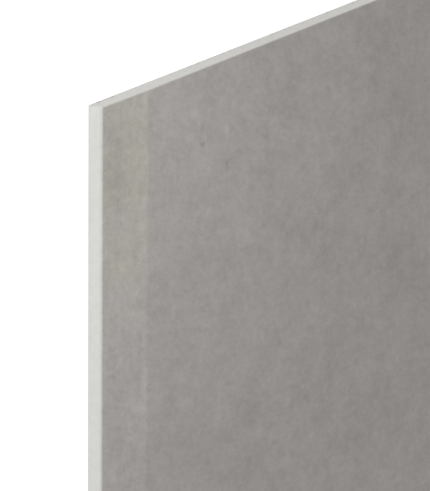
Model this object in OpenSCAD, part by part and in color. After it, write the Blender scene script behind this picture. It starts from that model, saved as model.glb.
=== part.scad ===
// Tapered-edge drywall sheet: a gypsum core between two papers.
// The sheet lies on its back, with its long edges along Y and its face up.
// The face paper folds round both long edges and returns under the core.
// The back paper laps over those returns, and the two short ends are cut square.

/* [Sheet] */
// Width, from one bound long edge to the other
sheet_w = 1200; // [600:50:1300]
// Length, from one cut end to the other
sheet_l = 2400; // [600:100:3600]
// Thickness of the flat field, with both papers
sheet_t = 12.5; // [9:0.5:25]

/* [Tapered edges] */
// Width of the taper along each long edge
taper_w = 63; // [40:1:80]
// How much lower the face is at its long edges
taper_depth = 1.2; // [0.6:0.1:2.5]
// Width of the soft shoulder between the taper and the flat field
shoulder_w = 8; // [2:1:20]
// Outer radius of the face paper where it folds round a long edge
fold_r = 1.2; // [0.8:0.1:3]

/* [Papers] */
// Thickness of the face paper
face_paper_t = 0.3; // [0.2:0.05:0.6]
// Thickness of the back paper
back_paper_t = 0.3; // [0.2:0.05:0.6]
// How far the face paper returns under the sheet from each long edge
return_w = 42; // [35:1:70]
// Distance from each long edge to the edge of the back paper
back_inset = 20; // [5:1:30]

/* [Hidden] */

half_w = sheet_w / 2;
taper_slope = taper_depth / taper_w;
// The returns lie on the back paper, one paper above the floor.
return_z = back_paper_t;
// Straight steps that stand for each quarter fold and each shoulder
fold_steps = 6;
shoulder_steps = 6;

// Height of the face at a distance d in from a long edge. The taper is a straight
// ramp, and a parabola that is tangent to both carries it into the flat field.
function face_z(d) =
    let (into_shoulder = taper_w + shoulder_w / 2 - d)
    into_shoulder <= 0 ? sheet_t
    : into_shoulder < shoulder_w ? sheet_t - taper_slope * pow(into_shoulder, 2) / (2 * shoulder_w)
    : sheet_t - taper_slope * (taper_w - d);

// Points of a quarter fold of radius r about [x, z], starting at an angle and turning up.
function quarter_fold(x, z, r, start) = [
    for (i = [0 : fold_steps])
        let (a = start + 90 * i / fold_steps)
        [x + r * cos(a), z + r * sin(a)]
];

// One side of the face paper in section, from the free edge of its return, round the
// long edge and up over the shoulder, on the surface that lies inset below the outside.
function wrap_side(inset) = concat(
    [[half_w - return_w, return_z + inset]],
    quarter_fold(half_w - fold_r, return_z + fold_r, fold_r - inset, -90),
    quarter_fold(half_w - fold_r, face_z(fold_r) - fold_r, fold_r - inset, 0),
    [
        for (i = [0 : shoulder_steps])
            let (d = taper_w + shoulder_w * (i / shoulder_steps - 1 / 2))
            [half_w - d, face_z(d) - inset]
    ]
);

// The same side on the other long edge, in the opposite order.
function opposite(points) = [
    for (i = [len(points) - 1 : -1 : 0]) [-points[i][0], points[i][1]]
];

// The whole wrap in section, from one return's free edge to the other's.
function wrap(inset) = concat(wrap_side(inset), opposite(wrap_side(inset)));

function reversed(points) = [for (i = [len(points) - 1 : -1 : 0]) points[i]];

// Runs a section in X and Z along the whole length of the sheet.
module along_sheet() {
    translate([0, sheet_l / 2, 0])
        rotate([90, 0, 0])
            linear_extrude(height = sheet_l)
                children();
}

module gypsum_core() {
    lap_edge = half_w - return_w;
    color("whitesmoke")
        along_sheet()
            polygon(concat(
                [[-lap_edge, return_z], [lap_edge, return_z]],
                wrap(face_paper_t)
            ));
}

module face_paper() {
    color("darkgray")
        along_sheet()
            polygon(concat(wrap(0), reversed(wrap(face_paper_t))));
}

module back_paper() {
    color("rosybrown")
        along_sheet()
            translate([back_inset - half_w, 0])
                square([sheet_w - 2 * back_inset, back_paper_t]);
}

gypsum_core();
face_paper();
back_paper();
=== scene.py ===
"""Tapered-edge drywall sheet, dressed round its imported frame.

The sheet lies on its back with its face up: X across it, Y along it and Z
through it. Its three pieces are a back paper, a gypsum core and a face paper
that folds round both long edges. Each piece is a lattice of points, worked out
as whole arrays from one section across the sheet, and only the lattice's outer
skin becomes mesh. Lengths are metres and angles degrees unless a note says
otherwise.
"""

import logging
from dataclasses import dataclass
from enum import Enum
from typing import Sequence

import bpy
import numpy as np
from mathutils import Matrix, Vector


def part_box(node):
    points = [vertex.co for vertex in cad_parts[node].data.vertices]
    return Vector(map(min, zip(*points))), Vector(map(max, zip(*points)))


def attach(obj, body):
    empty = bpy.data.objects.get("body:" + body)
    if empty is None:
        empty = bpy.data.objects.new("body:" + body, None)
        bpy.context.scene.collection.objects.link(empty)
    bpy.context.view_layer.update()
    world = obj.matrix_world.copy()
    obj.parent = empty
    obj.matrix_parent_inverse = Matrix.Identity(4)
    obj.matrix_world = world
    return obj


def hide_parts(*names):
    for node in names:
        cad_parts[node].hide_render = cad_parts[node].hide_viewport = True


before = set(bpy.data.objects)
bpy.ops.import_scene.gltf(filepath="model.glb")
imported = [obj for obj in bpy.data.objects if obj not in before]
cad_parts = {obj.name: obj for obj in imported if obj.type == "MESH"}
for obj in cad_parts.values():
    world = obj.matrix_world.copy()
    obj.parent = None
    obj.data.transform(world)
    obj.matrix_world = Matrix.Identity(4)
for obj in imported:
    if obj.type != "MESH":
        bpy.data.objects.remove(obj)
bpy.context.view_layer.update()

LOG = logging.getLogger("drywall_sheet")
MM = 0.001
DECIMALS_OF_A_MICRON = 6

Array = np.ndarray
Socket = bpy.types.NodeSocket
Pair = tuple[float, float]
Triple = tuple[float, float, float]

EVEN: Triple = (1.0, 1.0, 1.0)
ORIGIN: Triple = (0.0, 0.0, 0.0)
WHITE = (1.0, 1.0, 1.0, 1.0)


class Node(Enum):
    """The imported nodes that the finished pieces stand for."""

    CORE = "gypsum_core"
    FACE = "face_paper"
    BACK = "back_paper"


class Slot(Enum):
    """The record's material slots."""

    GYPSUM = "gypsum"
    FACE = "face_paper"
    BACK = "back_paper"


class End(Enum):
    """The two cut ends, by the way that each one faces along Y."""

    TOP = 1
    BOTTOM = -1


# ---- surfaces


def ripples(
    u: Array, v: Array, reach: float, seed: int, waves: int = 24, spread: Pair = (0.7, 1.6)
) -> Array:
    """A smooth random surface of unit size, the same on any grid.

    It is a sum of cosine waves. Each has a random direction, a random phase and
    a length that is a random multiple of the reach.

    Args:
        u: First coordinate of each point.
        v: Second coordinate of each point, of a shape that fits u.
        reach: Typical distance from one crest to the next.
        seed: Start of the random draws.
        waves: Number of waves in the sum.
        spread: Least and greatest multiple of the reach.

    Returns:
        The height at each point, with a standard deviation of about 1.
    """
    draws = np.random.default_rng(seed)
    heading = draws.uniform(0, 2 * np.pi, waves)
    number = 2 * np.pi / (reach * draws.uniform(*spread, waves))
    phase = draws.uniform(0, 2 * np.pi, waves)
    u, v = np.broadcast_arrays(u, v)
    along_u, along_v = number * np.cos(heading), number * np.sin(heading)
    angle = u[..., None] * along_u + v[..., None] * along_v + phase
    return np.cos(angle).sum(-1) * np.sqrt(2 / waves)


def skin_of(lattice: Array) -> tuple[Array, Array]:
    """The closed outer skin of a block of lattice points.

    Args:
        lattice: Points of shape (layers, rows, columns, 3). Columns cross rows
            towards the layers: column way x row way points to the next layer.

    Returns:
        The skin's vertices, of shape (n, 3), and its outward quads, (m, 4).
    """
    ids = np.arange(lattice[..., 0].size).reshape(lattice.shape[:3])
    sides = (ids[0], ids[-1].T, ids[:, :, 0], ids[:, :, -1].T, ids[:, 0].T, ids[:, -1])
    quads = np.concatenate([
        np.stack([a[:-1, :-1], a[1:, :-1], a[1:, 1:], a[:-1, 1:]], -1).reshape(-1, 4)
        for a in sides
    ])
    used, renumbered = np.unique(quads, return_inverse=True)
    return lattice.reshape(-1, 3)[used], renumbered.reshape(quads.shape)


def solid_from(name: str, lattice: Array, crease: float = 35.0) -> bpy.types.Object:
    """A mesh object of a lattice's skin, smooth except over its creases.

    Args:
        name: Name of the object and its mesh.
        lattice: Points as skin_of takes them.
        crease: Angle past which an edge between two faces stays sharp.

    Returns:
        The object, linked to the scene, with its place in its mesh.
    """
    points, quads = skin_of(lattice)
    mesh = bpy.data.meshes.new(name)
    mesh.vertices.add(len(points))
    mesh.vertices.foreach_set("co", points.astype(np.float32).ravel())
    mesh.loops.add(quads.size)
    mesh.loops.foreach_set("vertex_index", quads.astype(np.int32).ravel())
    mesh.polygons.add(len(quads))
    mesh.polygons.foreach_set("loop_start", np.arange(0, quads.size, 4, dtype=np.int32))
    mesh.polygons.foreach_set("use_smooth", np.ones(len(quads), dtype=bool))
    mesh.update(calc_edges=True)
    mesh.validate()
    mesh.set_sharp_from_angle(angle=np.radians(crease))
    piece = bpy.data.objects.new(name, mesh)
    bpy.context.collection.objects.link(piece)
    return piece


# ---- sheet section


@dataclass(frozen=True)
class PaperSteps:
    """Numbers of points in each stretch of half the face paper's line."""

    field: int = 26
    shoulder: int = 18
    taper: int = 10
    nose: int = 10
    fold: int = 10
    wall: int = 6
    flat_return: int = 3
    climb: int = 7
    tail: int = 6


@dataclass(frozen=True)
class Section:
    """The section across the sheet, which every piece takes its shape from.

    A distance d is measured in from the nearer long edge.
    """

    half_width: float
    half_length: float
    thickness: float
    taper_width: float = 63 * MM
    taper_depth: float = 1.2 * MM
    shoulder_width: float = 8 * MM
    bead_height: float = 0.03 * MM
    bead_width: float = 2.6 * MM
    nose_drop: float = 0.14 * MM
    nose_reach: float = 2.6 * MM
    nose_zone: float = 8 * MM
    fold_radius: float = 1.2 * MM
    back_fold_radius: float = 0.8 * MM
    face_paper: float = 0.3 * MM
    back_paper: float = 0.3 * MM
    return_width: float = 42 * MM
    back_inset: float = 20 * MM
    climb_clearance: float = 2 * MM
    climb_width: float = 3 * MM
    # How far the painted lit edge tint reaches onto each return.
    painted_lit_return: float = 4 * MM
    lap_step: float = 0.01 * MM
    cut_wander: float = 0.12 * MM
    cut_reach: float = 0.45
    cut_seed: int = 40
    steps: PaperSteps = PaperSteps()
    core_fold_steps: int = 5

    @classmethod
    def from_frame(cls) -> "Section":
        """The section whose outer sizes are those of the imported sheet."""
        _, high = np.array(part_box(Node.FACE.value))
        return cls(half_width=high[0], half_length=high[1], thickness=high[2])

    @property
    def climb_start(self) -> float:
        """Where the face paper's return starts to climb past the back paper's edge."""
        return self.back_inset - self.climb_clearance - self.climb_width

    def face_height(self, d: Array) -> Array:
        """Height of the face above the floor.

        The taper is a straight ramp. A parabola that is tangent to both carries
        it into the flat field, with a faint bell-shaped bead where the taper
        belt ended, and the last few millimetres roll off towards the fold.

        Args:
            d: Distance in from the long edge.

        Returns:
            The height at each distance.
        """
        slope = self.taper_depth / self.taper_width
        into = np.clip(self.taper_width + self.shoulder_width / 2 - d, 0, None)
        curved = slope * into**2 / (2 * self.shoulder_width)
        ramp = slope * (into - self.shoulder_width / 2)
        drop = np.where(into < self.shoulder_width, curved, ramp)
        bead = self.bead_height * np.exp(-(((d - self.taper_width) / self.bead_width) ** 2))
        nose = self.nose_drop * np.exp(-(d - self.fold_radius) / self.nose_reach)
        return self.thickness - drop + bead - nose

    def return_height(self, d: Array) -> Array:
        """Height of the face paper's outer surface under the sheet.

        The return lies on the floor along the long edge. It climbs by the back
        paper's thickness on a smooth step, and runs on above the back paper.

        Args:
            d: Distance in from the long edge.

        Returns:
            The height at each distance.
        """
        share = np.clip((d - self.climb_start) / self.climb_width, 0, 1)
        return self.back_paper * share**2 * (3 - 2 * share)

    def half_wrap(self, inset: float) -> Array:
        """Half of the face paper's line in section, from its middle to its free edge.

        It runs out over the field and the taper, down the long edge between two
        quarter folds, and back under the sheet.

        Args:
            inset: Depth of the line below the paper's outer surface.

        Returns:
            Points of shape (n, 2), as X and Z.
        """
        steps = self.steps
        radius, back_radius = self.fold_radius, self.back_fold_radius
        stops = (
            self.half_width,
            self.taper_width + self.shoulder_width,
            self.taper_width - self.shoulder_width,
            self.nose_zone,
            radius,
        )
        counts = (steps.field, steps.shoulder, steps.taper, steps.nose)
        d = np.concatenate([
            np.linspace(start, stop, count, endpoint=False)
            for start, stop, count in zip(stops, stops[1:], counts)
        ])
        face = np.stack([self.half_width - d, self.face_height(d) - inset], 1)
        quarter = np.radians(np.linspace(90, 0, steps.fold))
        arc = np.stack([np.cos(quarter), np.sin(quarter)], 1)
        upper = [self.half_width - radius, float(self.face_height(radius)) - radius]
        lower = [self.half_width - back_radius, back_radius]
        wall_z = np.linspace(upper[1], lower[1], steps.wall + 2)[1:-1]
        wall = np.stack([np.full(steps.wall, self.half_width - inset), wall_z], 1)
        top_of_climb = self.climb_start + self.climb_width
        d = np.concatenate([
            np.linspace(back_radius, self.climb_start, steps.flat_return + 1, endpoint=False)[1:],
            np.linspace(self.climb_start, top_of_climb, steps.climb, endpoint=False),
            np.linspace(top_of_climb, self.return_width, steps.tail),
        ])
        under = np.stack([self.half_width - d, self.return_height(d) + inset], 1)
        upper_fold = upper + (radius - inset) * arc
        lower_fold = lower + (back_radius - inset) * arc[::-1] * [1, -1]
        return np.concatenate([face, upper_fold, wall, lower_fold, under])

    def wrap(self, inset: float) -> Array:
        """The whole line, from the left free edge round to the right one, as (n, 2)."""
        right = self.half_wrap(inset)
        return np.concatenate([right[:0:-1] * [-1, 1], right])

    def core_columns(self, spacing: float) -> Array:
        """X of each column of the core, denser round the folds and at the laps.

        Args:
            spacing: Distance between columns over the field and the tapers.

        Returns:
            The places in order, symmetrical about the middle.
        """
        flat = self.half_width - self.fold_radius
        lap = self.half_width - self.return_width
        places = [np.linspace(0, flat, round(flat / spacing)), lap + self.lap_step * np.array([-1, 1])]
        quarter = np.radians(np.linspace(0, 90, self.core_fold_steps + 1))[1:]
        for radius in (self.fold_radius, self.back_fold_radius):
            start = self.half_width - radius
            places.append(start + (radius - self.face_paper) * np.sin(quarter))
        right = np.unique(np.round(np.concatenate(places), DECIMALS_OF_A_MICRON))
        return np.concatenate([-right[:0:-1], right])

    def fold_drop(self, d: Array, radius: float) -> Array:
        """How far a fold draws the core back from flat: a circle about the fold's centre.

        Args:
            d: Distance in from the long edge.
            radius: The fold's outer radius.

        Returns:
            The drop at each distance, which is zero past the fold.
        """
        inner = radius - self.face_paper
        into = np.clip(radius - d, 0, inner)
        return inner - np.sqrt(inner**2 - into**2)

    def core_heights(self, x: Array) -> tuple[Array, Array]:
        """Heights of the core's underside and top, inside the folded paper.

        The underside steps down at the laps, from the returns to the back paper.

        Args:
            x: Place across the sheet.

        Returns:
            The underside's heights and the top's.
        """
        d = self.half_width - np.abs(x)
        top = self.face_height(np.maximum(d, self.fold_radius)) - self.face_paper
        lapped = self.return_height(d) + self.face_paper + self.fold_drop(d, self.back_fold_radius)
        under = np.where(d < self.return_width, lapped, self.back_paper)
        return under, top - self.fold_drop(d, self.fold_radius)

    def cut_place(self, x: Array, end: End) -> Array:
        """Y of the cut across the sheet, which wanders slightly from square.

        Args:
            x: Place across the sheet.
            end: The cut end.

        Returns:
            Y of the cut at each place, never past the sheet's nominal length.
        """
        drift = ripples(x, np.zeros(1), self.cut_reach, seed=self.cut_seed + end.value)
        return end.value * (self.half_length - self.cut_wander * (1 + np.tanh(drift)) / 2)


def along(section: Section, x: Array, stations: int) -> Array:
    """Y of each station along the sheet, stretched to reach both wandering cuts.

    Args:
        section: The sheet's section.
        x: Places across the sheet, of any shape that ends with its columns.
        stations: Number of rows from the bottom cut to the top one.

    Returns:
        Y of shape (stations, columns).
    """
    share = np.linspace(0, 1, stations)[:, None]
    low = section.cut_place(x, End.BOTTOM)
    high = section.cut_place(x, End.TOP)
    return low + share * (high - low)


# ---- materials


@dataclass(frozen=True)
class Tint:
    """A diffuse colour, as linear reflectances."""

    red: float
    green: float
    blue: float

    def times(self, factor: float) -> "Tint":
        """The same hue, brighter or darker by a factor."""
        return Tint(self.red * factor, self.green * factor, self.blue * factor)

    def rgba(self) -> tuple[float, float, float, float]:
        """The colour as a colour socket takes it."""
        return (self.red, self.green, self.blue, 1.0)

    def rgb(self) -> Triple:
        """The colour as a vector socket takes it."""
        return (self.red, self.green, self.blue)


@dataclass(frozen=True)
class Cloud:
    """Soft random noise about 0.5.

    The size is that of its largest features. Each finer octave is rough times
    as strong as the one before. The stretch is how many times longer features
    are along each axis, once the axes have moved to the start and turned about Z.
    """

    size: float
    octaves: float = 3.0
    rough: float = 0.55
    stretch: Triple = EVEN
    turn: float = 0.0
    start: Triple = ORIGIN


@dataclass(frozen=True)
class Flecks:
    """Sparse small flecks, one in a share of the cells of a random mosaic.

    The radius is a fleck's narrow one, and the stretch lengthens it. A fleck is
    level over its core, a share of the radius, and its rim is as wide outside
    the radius as inside. The strength is how far its own colour covers.
    """

    cell: float
    radius: float
    share: float
    strength: float = 1.0
    stretch: Triple = EVEN
    core: float = 0.6


@dataclass(frozen=True)
class Feel:
    """How matt a surface is in its smooth and its rough patches, how deep and how glossy."""

    roughness: Pair
    depth: float
    gloss: float


@dataclass(frozen=True)
class Mark:
    """A small oval dent or rub on the face, as handling leaves, in millimetres.

    Its middle lies across and down from the sheet's top left corner. It turns
    about Z, and it changes the paper's brightness by the given share.
    """

    across: float
    down: float
    half_width: float
    half_length: float
    turn: float
    change: float


CHALK = Tint(0.541, 0.535, 0.512)
DUST_REACH = 1.2 * MM
PATCH_RANGE = (0.3, 0.7)
HANDLING_MARKS = (
    Mark(4, 20, 40, 130, 0, -0.055),
    Mark(145, 56, 4.8, 3.2, 0, -0.25),
    Mark(141, 53.5, 3.6, 6, 20, -0.10),
    Mark(148, 51, 3.4, 6.5, 30, 0.14),
    Mark(182, 53.5, 4.2, 6, -25, 0.18),
    Mark(189, 54, 3.2, 5, -25, -0.09),
    Mark(182, 78, 4.6, 3.2, 0, -0.15),
    Mark(144, 41, 4.4, 2.8, 0, -0.13),
    Mark(73, 30, 4, 2.6, 0, 0.13),
    Mark(188, 247, 8, 2.6, -15, -0.14),
    Mark(315, 290, 7, 3.4, -15, -0.12),
    Mark(292, 291, 7, 7, 0, -0.09),
)


class Recipe:
    """A material under construction, on a principled shader."""

    def __init__(self, name: str) -> None:
        """Start a material whose patterns follow the object's own coordinates.

        Args:
            name: Name of the material.
        """
        self.material = bpy.data.materials.new(name)
        self.material.use_nodes = True
        self.tree = self.material.node_tree
        self.shader = self.tree.nodes["Principled BSDF"]
        self.place = self.add("ShaderNodeTexCoord").outputs["Object"]

    def add(
        self, kind: str, inputs: dict[str | int, object] | None = None, **settings: object
    ) -> bpy.types.Node:
        """Add a node.

        Args:
            kind: The kind of node.
            inputs: A value or a socket to link for each input, by name or number.
            **settings: Properties of the node.

        Returns:
            The new node.
        """
        node = self.tree.nodes.new(kind)
        for key, value in settings.items():
            setattr(node, key, value)
        self.wire(node, inputs or {})
        return node

    def wire(self, node: bpy.types.Node, inputs: dict[str | int, object]) -> None:
        """Link sockets to a node's inputs, or set the inputs to values.

        Args:
            node: The node.
            inputs: A value or a socket to link for each input, by name or number.
        """
        for key, value in inputs.items():
            if isinstance(value, bpy.types.NodeSocket):
                self.tree.links.new(value, node.inputs[key])
            else:
                node.inputs[key].default_value = value

    def math(self, operation: str, *values: object) -> Socket:
        """The result of a Math node on sockets or numbers."""
        inputs = dict(enumerate(values))
        return self.add("ShaderNodeMath", inputs, operation=operation).outputs[0]

    def ramp(self, value: Socket, low: float, high: float, out: Sequence[float] = (0, 1)) -> Socket:
        """A smooth step from out[0] to out[1] as a value goes from low to high."""
        inputs = {0: value, 1: low, 2: high, 3: out[0], 4: out[1]}
        return self.add("ShaderNodeMapRange", inputs, interpolation_type="SMOOTHSTEP").outputs[0]

    def blend(self, share: object, first: object, second: object) -> Socket:
        """A colour part-way from the first to the second."""
        inputs = {"Factor": share, 6: first, 7: second}
        return self.add("ShaderNodeMix", inputs, data_type="RGBA").outputs[2]

    def scaled(self, colour: object, factor: Socket) -> Socket:
        """A colour made brighter or darker by a varying factor."""
        inputs = {0: colour, "Scale": factor}
        return self.add("ShaderNodeVectorMath", inputs, operation="SCALE").outputs[0]

    def turned(self, scale: Triple, turn: float, start: Triple) -> Socket:
        """Coordinates for a pattern on axes of its own.

        Args:
            scale: How many times longer the pattern is along each axis.
            turn: Turn of the axes about Z.
            start: Place of their origin.

        Returns:
            The coordinates.
        """
        inputs = {
            "Vector": self.place,
            "Location": start,
            "Rotation": (0.0, 0.0, np.radians(turn)),
            "Scale": scale,
        }
        return self.add("ShaderNodeMapping", inputs, vector_type="TEXTURE").outputs[0]

    def cloud(self, pattern: Cloud) -> Socket:
        """The value of a soft noise.

        Args:
            pattern: The noise's sizes.

        Returns:
            Its value, about 0.5.
        """
        inputs = {
            "Vector": self.turned(pattern.stretch, pattern.turn, pattern.start),
            "Scale": 1 / pattern.size,
            "Detail": pattern.octaves,
            "Roughness": pattern.rough,
        }
        return self.add("ShaderNodeTexNoise", inputs, normalize=True).outputs[0]

    def bend(self, size: float, reach: float) -> None:
        """Shift the coordinates with a fine noise, so that every later pattern is ragged.

        Args:
            size: Size of the noise's features.
            reach: Shift that its full range stands for.
        """
        inputs = {"Vector": self.place, "Scale": 1 / size, "Detail": 1.0}
        noise = self.add("ShaderNodeTexNoise", inputs, normalize=True).outputs["Color"]
        inputs = {0: noise, 1: (reach,) * 3, 2: self.place}
        self.place = self.add("ShaderNodeVectorMath", inputs, operation="MULTIPLY_ADD").outputs[0]

    def swing(self, noises: Sequence[Socket], weights: Sequence[float]) -> Socket:
        """A tone that swings about 1 with several noises.

        Args:
            noises: The noises.
            weights: The weight of each.

        Returns:
            One plus the sum of each noise's distance from 0.5 times its weight.
        """
        total: object = 1.0 - 0.5 * sum(weights)
        for noise, weight in zip(noises, weights):
            total = self.math("MULTIPLY_ADD", noise, weight, total)
        return total

    def flecks(self, pattern: Flecks) -> Socket:
        """Where the flecks of a pattern lie.

        Args:
            pattern: The flecks' sizes.

        Returns:
            1 inside a fleck, 0 outside, with soft rims.
        """
        place = self.turned(pattern.stretch, 0.0, ORIGIN)
        mosaic = self.add("ShaderNodeTexVoronoi", {"Vector": place, "Scale": 1 / pattern.cell})
        level = pattern.core * pattern.radius / pattern.cell
        rim = (2 - pattern.core) * pattern.radius / pattern.cell
        inside = self.ramp(mosaic.outputs["Distance"], rim, level)
        pick = self.add("ShaderNodeSeparateColor", {0: mosaic.outputs["Color"]}).outputs[0]
        return self.math("MULTIPLY", inside, self.math("LESS_THAN", pick, pattern.share))

    def flecked(self, colour: Socket, inside: Socket, strength: float, tint: Tint) -> Socket:
        """A colour with flecks of another laid over it."""
        return self.blend(self.math("MULTIPLY", inside, strength), colour, tint.rgba())

    def oval(self, centre: Pair, size: Pair, turn: float) -> Socket:
        """A soft oval.

        Args:
            centre: X and Y of its middle.
            size: Half its width and half its length.
            turn: Its turn about Z.

        Returns:
            1 in the middle, falling smoothly to 0 at the rim.
        """
        local = self.turned((*size, 1.0), turn, (*centre, 0.0))
        radius = self.add("ShaderNodeVectorMath", {0: local}, operation="LENGTH").outputs[1]
        return self.ramp(radius, 1.0, 0.0)

    def edge_distance(self, half_width: float) -> Socket:
        """Distance in from the nearer long edge."""
        across = self.add("ShaderNodeSeparateXYZ", {0: self.place}).outputs[0]
        return self.math("SUBTRACT", half_width, self.math("ABSOLUTE", across))

    def end_distance(self, half_length: float) -> Socket:
        """Distance in from the nearer cut end."""
        along_y = self.add("ShaderNodeSeparateXYZ", {0: self.place}).outputs[1]
        return self.math("SUBTRACT", half_length, self.math("ABSOLUTE", along_y))

    def past_arris(self, section: Section) -> Socket:
        """How far a place on the wrapped paper lies past the pale long edge.

        It is the distance in from the long edge, less the height down the edge
        from its upper arris or, where that is less, the height above the floor
        plus the width of the pale return. The pale edge and return are painted light.

        Args:
            section: The sheet's section.

        Returns:
            A distance that is negative on the edge and positive on the flats.
        """
        height = self.add("ShaderNodeSeparateXYZ", {0: self.place}).outputs[2]
        below = self.math("SUBTRACT", float(section.face_height(section.fold_radius)), height)
        above = self.math("ADD", height, section.painted_lit_return)
        inside = self.math("MINIMUM", below, above)
        return self.math("SUBTRACT", self.edge_distance(section.half_width), inside)

    def dusted(self, colour: Socket, half_length: float, share: float) -> Socket:
        """A paper's colour, veiled with gypsum dust along both cut ends.

        Args:
            colour: The paper's own colour.
            half_length: Half the sheet's length.
            share: Strength of the dust at the very end.

        Returns:
            The colour with its dust.
        """
        veil = self.ramp(self.end_distance(half_length), DUST_REACH, 0.0, (0.0, share))
        return self.blend(veil, colour, CHALK.rgba())

    def finish(self, colour: Socket, relief: Socket, patches: Socket, feel: Feel) -> bpy.types.Material:
        """Join the shader's inputs.

        Args:
            colour: Base colour.
            relief: Height pattern of the surface, from 0 to 1.
            patches: Noise that varies the roughness.
            feel: The surface's roughness, the depth of its relief and its gloss.

        Returns:
            The finished material.
        """
        roughness = self.ramp(patches, *PATCH_RANGE, feel.roughness)
        bump = self.add("ShaderNodeBump", {"Height": relief, "Distance": feel.depth, "Strength": 1.0})
        inputs = {"Base Color": colour, "Roughness": roughness, "Normal": bump.outputs[0]}
        self.wire(self.shader, {**inputs, "Specular IOR Level": feel.gloss})
        return self.material


@dataclass(frozen=True)
class FacePaperFinish:
    """Grey liner: clouded pulp, pressed paler on the tapers and pale on the long edges.

    The paler taper tint is partly pressed paper and partly painted light, where
    the taper tilts towards the lamp. The pale long edges are painted light: a lit
    copy of the grey liner. The liner's tone swings with four noises, pulp, fluff,
    streak and drift, and a swing gives their weights in that order. A tint has
    faded away where it is out, and holds where it is full, both as distances past
    the taper or the arris. Painted highlights brighten a broken line beside each
    shoulder and the paper near each fold.
    """

    grey: Tint = Tint(0.2458, 0.2309, 0.2202)
    # Paler taper tint: partly pressed paper, partly painted light where the taper tilts towards the
    # lamp.
    pressed: Tint = Tint(0.2665, 0.2505, 0.2385)
    aged: Tint = Tint(0.2670, 0.2548, 0.2275)
    # Pale tint of the long edges: painted light, a lit copy of the grey liner.
    edge: Tint = Tint(0.537, 0.540, 0.513)

    pulp: Cloud = Cloud(60 * MM, 5.0, 1.0, (1.6, 1.0, 1.0), -12.0, (1.781, 4.043, 0.0))
    fluff: Cloud = Cloud(5 * MM, 2.0, 0.8, (1.8, 1.0, 1.0), -18.0)
    streak: Cloud = Cloud(8 * MM, stretch=(1.0, 8.0, 1.0))
    drift: Cloud = Cloud(300 * MM, 2.0)
    flock: Cloud = Cloud(22 * MM)
    field_swing: tuple[float, ...] = (0.60, 0.32, 0.03, 0.03)
    # Noise weights for the painted lit edge tint.
    lit_edge_swing: tuple[float, ...] = (0.14, 0.12, 0.08, 0.03)
    brushing: float = 0.18

    # Where the paler taper tint, partly pressed and partly painted light, fades out and holds.
    taper_tint_out: float = 4.5 * MM
    taper_tint_full: float = -0.5 * MM
    taper_tint_wobble: float = 3 * MM
    # Where the painted lit edge tint fades out and where it holds.
    lit_edge_out: float = 2.5 * MM
    lit_edge_full: float = -2.3 * MM

    age_patches: Cloud = Cloud(34 * MM)
    age_patch_range: Pair = (0.68, 0.46)
    age_patch_depth: Pair = (0.35, 1.12)
    age_reach: float = 0.21
    age_fade: float = 0.04
    age_wobble: float = 0.16

    shoulder_breaks: Cloud = Cloud(160 * MM, 2.0)
    shoulder_break_range: Pair = (0.42, 0.62)
    shoulder_least: float = 0.15
    # Painted highlight: the broken bright line beside each shoulder.
    shoulder_highlight: float = 0.04
    shoulder_inset: float = 3 * MM
    shoulder_reach: float = 6 * MM
    # Painted highlight: brightening near each fold's arris.
    nose_highlight: float = 0.05
    nose_reach: float = 12 * MM

    fibres: Flecks = Flecks(9 * MM, 0.10 * MM, 0.5, 0.25, (1.0, 14.0, 1.0))
    dots: Flecks = Flecks(13 * MM, 0.60 * MM, 0.4, 0.16, (1.3, 1.0, 1.0))
    specks: Flecks = Flecks(60 * MM, 0.80 * MM, 0.4, 0.35, (1.0, 1.8, 1.0))
    lint: Flecks = Flecks(45 * MM, 0.60 * MM, 0.3, 0.20, (1.2, 1.0, 1.0))
    fibre_shade: float = 1.45
    speck_shade: float = 0.45
    fibre_relief: float = 0.25
    dust: float = 0.4
    feel: Feel = Feel((0.78, 0.90), 0.25 * MM, 0.3)

    def make(self, section: Section) -> bpy.types.Material:
        """Build the material.

        Args:
            section: The sheet's section, for the places of the tapers and edges.

        Returns:
            The material.
        """
        recipe = Recipe("grey_face_liner")
        noises = [recipe.cloud(each) for each in (self.pulp, self.fluff, self.streak, self.drift)]
        pulp, _, streak, _ = noises
        flock = recipe.cloud(self.flock)
        d = recipe.edge_distance(section.half_width)

        wobbly = recipe.math("MULTIPLY_ADD", flock, self.taper_tint_wobble, d)
        out, full = section.taper_width + self.taper_tint_out, section.taper_width + self.taper_tint_full
        on_taper = recipe.ramp(wobbly, out, full)
        # The taper's paler tint is partly pressed paper and partly painted light.
        taper_colour = recipe.blend(self.age(recipe, section), self.pressed.rgba(), self.aged.rgba())
        colour = recipe.blend(on_taper, self.grey.rgba(), taper_colour)

        brushed = recipe.math("MULTIPLY", recipe.math("SUBTRACT", streak, 0.5), on_taper)
        tone = recipe.swing(noises, self.field_swing)
        tone = recipe.math("MULTIPLY_ADD", brushed, self.brushing, tone)
        tone = recipe.math("MULTIPLY", tone, self.painted_highlights(recipe, section, d))
        colour = recipe.scaled(colour, recipe.math("MULTIPLY", tone, self.marking(recipe, section)))

        fibres = recipe.flecks(self.fibres)
        dark = self.grey.times(self.speck_shade)
        colour = recipe.flecked(colour, fibres, self.fibres.strength, self.grey.times(self.fibre_shade))
        for flecks, tint in ((self.dots, dark), (self.specks, dark), (self.lint, self.edge)):
            colour = recipe.flecked(colour, recipe.flecks(flecks), flecks.strength, tint)

        # Painted light: the long edges and the start of each return take a pale lit copy of the liner.
        painted_lit_edge_colour = recipe.scaled(self.edge.rgb(), recipe.swing(noises, self.lit_edge_swing))
        on_edge = recipe.ramp(recipe.past_arris(section), self.lit_edge_out, self.lit_edge_full)
        colour = recipe.blend(on_edge, colour, painted_lit_edge_colour)
        colour = recipe.dusted(colour, section.half_length, self.dust)
        relief = recipe.math("MULTIPLY_ADD", fibres, self.fibre_relief, pulp)
        return recipe.finish(colour, relief, flock, self.feel)

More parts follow.
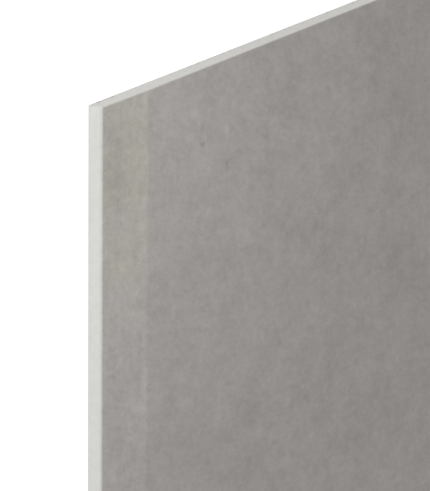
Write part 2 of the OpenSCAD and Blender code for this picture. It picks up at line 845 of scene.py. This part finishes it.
    def age(self, recipe: Recipe, section: Section) -> Socket:
        """How far a taper has yellowed: in patches, near the cut ends.

        Args:
            recipe: The material under construction.
            section: The sheet's section.

        Returns:
            The share of the aged tint.
        """
        patches = recipe.cloud(self.age_patches)
        end = recipe.end_distance(section.half_length)
        wobbly = recipe.math("MULTIPLY_ADD", patches, self.age_wobble, end)
        near_end = recipe.ramp(wobbly, self.age_reach + self.age_fade, self.age_reach - self.age_fade)
        patched = recipe.ramp(patches, *self.age_patch_range, self.age_patch_depth)
        return recipe.math("MULTIPLY", near_end, patched)

    def painted_highlights(self, recipe: Recipe, section: Section, d: Socket) -> Socket:
        """Brightening in a broken line beside the taper's shoulder, and near the fold.

        Args:
            recipe: The material under construction.
            section: The sheet's section.
            d: Distance in from the long edge.

        Returns:
            A factor of painted highlight, which is 1 away from both lines.
        """
        breaks = recipe.cloud(self.shoulder_breaks)
        broken = recipe.ramp(breaks, *self.shoulder_break_range, (self.shoulder_least, 1.0))
        off_line = recipe.math("SUBTRACT", d, section.taper_width - self.shoulder_inset)
        off_line = recipe.math("ABSOLUTE", off_line)
        # Painted highlights: a bright line beside the shoulder, and brightening near the fold.
        line = recipe.ramp(off_line, self.shoulder_reach, 0.0, (0.0, self.shoulder_highlight))
        nose = recipe.ramp(d, self.nose_reach, 0.0, (1.0, 1.0 + self.nose_highlight))
        return recipe.math("MULTIPLY_ADD", line, broken, nose)

    def marking(self, recipe: Recipe, section: Section) -> Socket:
        """Darkening and brightening by the marks of handling.

        Args:
            recipe: The material under construction.
            section: The sheet's section, for the corner the marks are placed from.

        Returns:
            A factor that is 1 away from every mark.
        """
        total: object = 1.0
        for mark in HANDLING_MARKS:
            centre = (mark.across * MM - section.half_width, section.half_length - mark.down * MM)
            oval = recipe.oval(centre, (mark.half_width * MM, mark.half_length * MM), mark.turn)
            total = recipe.math("MULTIPLY_ADD", oval, mark.change, total)
        return total


@dataclass(frozen=True)
class BackPaperFinish:
    """Coarse recycled liner, browner and more flecked than the face."""

    brown: Tint = Tint(0.270, 0.235, 0.190)
    pulp: Cloud = Cloud(6 * MM, 4.0, stretch=(1.0, 1.8, 1.0))
    flock: Cloud = Cloud(35 * MM, stretch=(1.0, 1.8, 1.0))
    drift: Cloud = Cloud(400 * MM, 2.0)
    swing: tuple[float, ...] = (0.28, 0.14, 0.10)
    fibres: Flecks = Flecks(7 * MM, 0.12 * MM, 0.6, 0.3, (1.0, 12.0, 1.0))
    specks: Flecks = Flecks(18 * MM, 0.40 * MM, 0.4, 0.6, (1.0, 1.5, 1.0))
    fibre_shade: float = 1.6
    speck_shade: float = 0.4
    fibre_relief: float = 0.3
    dust: float = 0.8
    feel: Feel = Feel((0.82, 0.93), 0.3 * MM, 0.25)

    def make(self, section: Section) -> bpy.types.Material:
        """Build the material.

        Args:
            section: The sheet's section, for the place of the cut ends.

        Returns:
            The material.
        """
        recipe = Recipe("brown_back_liner")
        noises = [recipe.cloud(each) for each in (self.pulp, self.flock, self.drift)]
        pulp, flock, _ = noises
        colour = recipe.scaled(self.brown.rgb(), recipe.swing(noises, self.swing))
        fibres, specks = recipe.flecks(self.fibres), recipe.flecks(self.specks)
        pale, dark = self.brown.times(self.fibre_shade), self.brown.times(self.speck_shade)
        colour = recipe.flecked(colour, fibres, self.fibres.strength, pale)
        colour = recipe.flecked(colour, specks, self.specks.strength, dark)
        colour = recipe.dusted(colour, section.half_length, self.dust)
        relief = recipe.math("MULTIPLY_ADD", fibres, self.fibre_relief, pulp)
        return recipe.finish(colour, relief, flock, self.feel)


@dataclass(frozen=True)
class GypsumFinish:
    """Cut gypsum: chalky off-white, pocked by the air bubbles of its foam."""

    chalk: Tint = CHALK
    crumb: Cloud = Cloud(1.6 * MM, 4.0)
    patch: Cloud = Cloud(12 * MM)
    drift: Cloud = Cloud(200 * MM, 2.0)
    swing: tuple[float, ...] = (0.16, 0.08, 0.04)
    pinholes: Flecks = Flecks(0.7 * MM, 0.10 * MM, 0.6, core=0.0)
    bubbles: Flecks = Flecks(1.3 * MM, 0.18 * MM, 0.5, core=0.1)
    blisters: Flecks = Flecks(4.7 * MM, 0.36 * MM, 0.5, stretch=(1.0, 1.0, 1.3), core=0.1)
    bend_size: float = 0.45 * MM
    bend_reach: float = 0.7 * MM
    # Painted shade in the bubbles' pits: how far it covers and how dark it is.
    painted_pit_strength: float = 0.5
    painted_pit_shade: float = 0.4
    hollow_relief: float = -0.5
    feel: Feel = Feel((0.88, 0.97), 0.35 * MM, 0.2)

    def make(self) -> bpy.types.Material:
        """Build the material.

        Returns:
            The material.
        """
        recipe = Recipe("cut_gypsum")
        noises = [recipe.cloud(each) for each in (self.crumb, self.patch, self.drift)]
        crumb, patch, _ = noises
        colour = recipe.scaled(self.chalk.rgb(), recipe.swing(noises, self.swing))
        recipe.bend(self.bend_size, self.bend_reach)
        small = recipe.math("MAXIMUM", recipe.flecks(self.pinholes), recipe.flecks(self.bubbles))
        hollows = recipe.math("MAXIMUM", small, recipe.flecks(self.blisters))
        # Painted shade: the pits are darkened where shade falls into them.
        dark = self.chalk.times(self.painted_pit_shade)
        colour = recipe.flecked(colour, hollows, self.painted_pit_strength, dark)
        relief = recipe.math("MULTIPLY_ADD", hollows, self.hollow_relief, crumb)
        return recipe.finish(colour, relief, patch, self.feel)


@dataclass(frozen=True)
class FloorFinish:
    """Plain white panel, lit from below as a light table is."""

    white: Tint = Tint(0.35, 0.35, 0.35)
    patch: Cloud = Cloud(600 * MM, 2.0)
    grain: Cloud = Cloud(12 * MM, 2.0)
    patch_swing: float = 0.01
    glow: float = 0.75
    feel: Feel = Feel((0.85, 0.9), 0.02 * MM, 0.1)

    def make(self) -> bpy.types.Material:
        """Build the material.

        Returns:
            The material.
        """
        recipe = Recipe("pale_floor")
        patch = recipe.cloud(self.patch)
        colour = recipe.scaled(self.white.rgb(), recipe.swing([patch], [self.patch_swing]))
        recipe.wire(recipe.shader, {"Emission Color": WHITE, "Emission Strength": self.glow})
        recipe.material.cycles.emission_sampling = "NONE"
        return recipe.finish(colour, recipe.cloud(self.grain), patch, self.feel)


# ---- pieces


def install(
    name: str, lattice: Array, finish: bpy.types.Material, node: Node
) -> bpy.types.Object:
    """Make a piece, dress it, ride it on the sheet's one body and let it stand for its node.

    Args:
        name: Name of the piece.
        lattice: Its points, as skin_of takes them.
        finish: Its material.
        node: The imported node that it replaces.

    Returns:
        The finished piece.
    """
    piece = solid_from(name, lattice)
    piece.data.materials.append(finish)
    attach(piece, "root")
    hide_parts(node.value)
    LOG.info("%s: %d faces", piece.name, len(piece.data.polygons))
    return piece


@dataclass(frozen=True)
class FacePaper:
    """The liner that covers the face and folds round both long edges."""

    section: Section
    stations: int = 121
    cockle: float = 0.025 * MM
    cockle_reach: float = 0.22
    cockle_sink: float = 1.0
    cockle_seed: int = 11
    belt_mark: float = 0.05 * MM
    belt_reach: float = 0.09
    belt_sink: float = 2.0
    belt_squash: float = 3.0
    belt_seed: int = 12

    def lattice(self) -> Array:
        """Points of the paper's inner and outer surfaces.

        Both follow the wrap's line along the sheet. The outer one also moves
        along its own normal: slightly and at random over the face, and more on
        the long edges, in ripples that the forming belts leave along Y. Each is
        sunk by a multiple of its own height, so that little of it stands proud.

        Returns:
            Points of shape (2, stations, columns, 3), the inner surface first.
        """
        inner = self.section.wrap(self.section.face_paper)
        outer = self.section.wrap(0.0)
        x, z = outer.T
        y = along(self.section, x, self.stations)
        heading = np.gradient(outer, axis=0)
        normal = np.stack([-heading[:, 1], heading[:, 0]], 1)
        normal /= np.linalg.norm(normal, axis=1, keepdims=True)
        on_edge = normal[:, 0] ** 2
        on_face = np.clip(normal[:, 1], 0, 1) ** 2
        cockles = ripples(x, y, self.cockle_reach, self.cockle_seed) - self.cockle_sink
        belts = ripples(self.belt_squash * z, y, self.belt_reach, self.belt_seed) - self.belt_sink
        height = self.cockle * on_face * cockles + self.belt_mark * on_edge * belts
        moved = outer + height[..., None] * normal
        surfaces = [np.broadcast_to(inner, moved.shape), moved]
        return np.stack([np.stack([line[..., 0], y, line[..., 1]], -1) for line in surfaces])

    def build(self) -> bpy.types.Object:
        """Make the piece, dress it and return it."""
        finish = FacePaperFinish().make(self.section)
        return install("face_liner", self.lattice(), finish, Node.FACE)


@dataclass(frozen=True)
class BackPaper:
    """The plain liner under the sheet, whose long edges lap over the face paper's returns."""

    section: Section
    stations: int = 161
    columns: int = 41
    trim_wander: float = 0.5 * MM
    trim_reach: float = 0.35
    trim_seed: int = 21

    def lattice(self) -> Array:
        """Points of the paper's under and upper surfaces.

        Both are flat. Each long edge wanders by a fraction of a millimetre, as
        a roll's slit edge does.

        Returns:
            Points of shape (2, stations, columns, 3), the under surface first.
        """
        section = self.section
        reach = section.half_width - section.back_inset
        share = np.linspace(-1, 1, self.columns)
        y = along(section, share * reach, self.stations)
        wander = ripples(np.sign(share), y, self.trim_reach, self.trim_seed) * share**2
        x = share * (reach + self.trim_wander * wander)
        levels = (0.0, section.back_paper)
        return np.stack([np.stack([x, y, np.full_like(y, z)], -1) for z in levels])

    def build(self) -> bpy.types.Object:
        """Make the piece, dress it and return it."""
        finish = BackPaperFinish().make(self.section)
        return install("back_liner", self.lattice(), finish, Node.BACK)


@dataclass(frozen=True)
class GypsumCore:
    """The core, bare at the two cut ends, where it is cut slightly rough."""

    section: Section
    spacing: float = 1.0 * MM
    layers: int = 15
    recess: float = 0.06 * MM
    saw_mark: float = 0.04 * MM
    saw_reach: float = 3.5 * MM
    grit_reach: float = 1.9 * MM
    grit_share: float = 0.6
    chip_depth: float = 0.45 * MM
    chip_spacing: float = 11 * MM
    chip_threshold: float = 1.0
    chip_reach: float = 1.3 * MM
    seed: int = 31
    seed_step: int = 5

    def cut_relief(self, x: Array, z: Array, rim: Array, seed: int) -> Array:
        """How far a cut end lies behind the papers' edges.

        It is an even recess, a fine random roughness and chips. A chip is where
        a coarser random surface rises past a threshold, close to a paper.

        Args:
            x: Place across the sheet.
            z: Height.
            rim: Distance to the nearer paper.
            seed: Start of the random draws.

        Returns:
            The depth at each point, which is never less than zero.
        """
        rough = ripples(x, z, self.saw_reach, seed)
        rough = rough + self.grit_share * ripples(x, z, self.grit_reach, seed + 1)
        crumbled = np.clip(ripples(x, z, self.chip_spacing, seed + 2) - self.chip_threshold, 0, 1)
        chips = self.chip_depth * crumbled * np.exp(-rim / self.chip_reach)
        return np.clip(self.recess + self.saw_mark * rough, 0, None) + chips

    def cut_row(self, x: Array, z: Array, rim: Array, end: End) -> Array:
        """Y of every point of one cut end."""
        depth = self.cut_relief(x, z, rim, self.seed + self.seed_step * end.value)
        return self.section.cut_place(x, end) - end.value * depth

    def lattice(self) -> Array:
        """Points of the core, from its underside up to its top.

        Each column stands between the underside and the top at its place across
        the sheet. The two end rows carry the cuts' relief.

        Returns:
            Points of shape (layers, 3, columns, 3).
        """
        x = self.section.core_columns(self.spacing)
        under, top = self.section.core_heights(x)
        share = np.linspace(0, 1, self.layers)[:, None]
        z = under + share * (top - under)
        rim = np.minimum(z - under, top - z)
        across = np.broadcast_to(x, z.shape)
        bottom_cut = self.cut_row(across, z, rim, End.BOTTOM)
        top_cut = self.cut_row(across, z, rim, End.TOP)
        rows = (bottom_cut, np.zeros_like(z), top_cut)
        return np.stack([np.stack([across, y, z], -1) for y in rows], 1)

    def build(self) -> bpy.types.Object:
        """Make the piece, dress it and return it."""
        finish = GypsumFinish().make()
        return install("gypsum_block", self.lattice(), finish, Node.CORE)


# ---- studio


@dataclass(frozen=True)
class CornerSoftbox:
    """A square studio light over the sheet's top left corner, aimed at it."""

    offset: Triple = (-0.04, 0.06, 0.42)
    size: float = 0.3
    watts: float = 0.96

    def hang(self, corner: Vector) -> None:
        """Add the light, out of sight of the camera.

        Args:
            corner: The sheet's corner at floor level.
        """
        data = bpy.data.lights.new("corner_softbox", "AREA")
        data.shape = "SQUARE"
        data.size = self.size
        data.energy = self.watts
        light = bpy.data.objects.new("corner_softbox", data)
        light.rotation_euler = (-Vector(self.offset)).to_track_quat("-Z", "Y").to_euler()
        light.location = corner + Vector(self.offset)
        light.visible_camera = False
        bpy.context.collection.objects.link(light)


@dataclass(frozen=True)
class Skylight:
    """Broad directional light, as from a wall of diffusers far away."""

    azimuth: float = -95.0
    elevation: float = 38.0
    spread: float = 50.0
    strength: float = 0.62

    def hang(self) -> None:
        """Add the light."""
        data = bpy.data.lights.new("diffuser_wall", "SUN")
        data.energy = self.strength
        data.angle = np.radians(self.spread)
        light = bpy.data.objects.new("diffuser_wall", data)
        a, e = np.radians([self.azimuth, self.elevation])
        towards = Vector((np.sin(a) * np.cos(e), -np.cos(a) * np.cos(e), np.sin(e)))
        light.rotation_euler = towards.to_track_quat("Z", "Y").to_euler()
        bpy.context.collection.objects.link(light)


@dataclass(frozen=True)
class Haze:
    """Even white light from all round, a little stronger along the horizon.

    A height is the sine of the elevation. Below the low one the horizon's
    strength holds, and above the high one the sky's.
    """

    sky: float = 0.824
    horizon: float = 1.10
    low: float = 0.02
    high: float = 0.20

    def fill(self) -> None:
        """Make the scene's world."""
        world = bpy.data.worlds.new("studio_haze")
        world.use_nodes = True
        nodes, links = world.node_tree.nodes, world.node_tree.links
        way = nodes.new("ShaderNodeTexCoord")
        height = nodes.new("ShaderNodeSeparateXYZ")
        fade = nodes.new("ShaderNodeMapRange")
        ends = {"From Min": self.low, "From Max": self.high, "To Min": self.horizon, "To Max": self.sky}
        for key, value in ends.items():
            fade.inputs[key].default_value = value
        links.new(way.outputs["Generated"], height.inputs[0])
        links.new(height.outputs["Z"], fade.inputs["Value"])
        links.new(fade.outputs[0], nodes["Background"].inputs["Strength"])
        nodes["Background"].inputs["Color"].default_value = WHITE
        bpy.context.scene.world = world


@dataclass(frozen=True)
class Floor:
    """A round floor, level with the sheet's back."""

    radius: float = 2000.0
    inner_radius: float = 1.0
    rings: int = 12
    sides: int = 48

    def lay(self) -> None:
        """Add the floor: a fan of triangles inside rings of quads that grow outwards."""
        turn = np.linspace(0, 2 * np.pi, self.sides, endpoint=False)
        radius = np.geomspace(self.inner_radius, self.radius, self.rings)
        ring = radius[:, None, None] * np.stack([np.cos(turn), np.sin(turn)], 1)
        flat = np.concatenate([np.zeros((1, 2)), ring.reshape(-1, 2)])
        points = np.concatenate([flat, np.zeros((len(flat), 1))], 1)
        ids = 1 + np.arange(self.rings * self.sides).reshape(self.rings, self.sides)
        ahead = np.roll(ids, -1, axis=1)
        quads = np.stack([ids[:-1], ids[1:], ahead[1:], ahead[:-1]], -1).reshape(-1, 4)
        middle = np.stack([np.zeros_like(ids[0]), ids[0], ahead[0]], -1)
        mesh = bpy.data.meshes.new("floor")
        mesh.from_pydata(points.tolist(), [], middle.tolist() + quads.tolist())
        mesh.materials.append(FloorFinish().make())
        floor = bpy.data.objects.new("floor", mesh)
        bpy.context.collection.objects.link(floor)


@dataclass(frozen=True)
class CornerCamera:
    """The camera over the sheet's top left corner.

    Its angles are those of a sheet that stands on its bottom end with its face
    to the front. The sheet lies on its back, and the camera has turned with it.
    """

    aim: Pair = (0.1650, -0.1360)
    azimuth: float = -62.02
    elevation: float = 14.79
    tilt: float = 0.52
    distance: float = 3.230
    lens: float = 325.2
    reach: float = 200.0

    def set_up(self, section: Section) -> None:
        """Add the camera and make it the scene's.

        Args:
            section: The sheet's section, for the corner that aim is measured from.
        """
        a, e, t = np.radians([self.azimuth, self.elevation, self.tilt])
        back = Vector((np.sin(a) * np.cos(e), np.sin(e), np.cos(a) * np.cos(e)))
        level = Vector((np.cos(a), 0.0, -np.sin(a)))
        upright = back.cross(level)
        right = level * np.cos(t) + upright * np.sin(t)
        corner = Vector((-section.half_width, section.half_length, section.thickness))
        place = corner + Vector((*self.aim, 0.0)) + back * self.distance
        turn = Matrix((right, back.cross(right), back)).transposed().to_4x4()
        data = bpy.data.cameras.new("corner_camera")
        data.lens = self.lens
        data.clip_end = self.reach
        camera = bpy.data.objects.new("corner_camera", data)
        camera.matrix_world = Matrix.Translation(place) @ turn
        bpy.context.collection.objects.link(camera)
        bpy.context.scene.camera = camera


def set_up_studio(section: Section) -> None:
    """Set up the camera, the floor and the light, and show colours as they are.

    Args:
        section: The sheet's section.
    """
    CornerCamera().set_up(section)
    Floor().lay()
    Haze().fill()
    Skylight().hang()
    CornerSoftbox().hang(Vector((-section.half_width, section.half_length, 0.0)))
    bpy.context.scene.view_settings.view_transform = "Standard"
    LOG.info("studio: camera, floor and lights set")


def main() -> None:
    """Build the sheet and its studio."""
    logging.basicConfig(level=logging.INFO, format="%(name)s: %(message)s")
    section = Section.from_frame()
    set_up_studio(section)
    for part in (BackPaper(section), GypsumCore(section), FacePaper(section)):
        part.build()


if __name__ == "__main__":
    main()
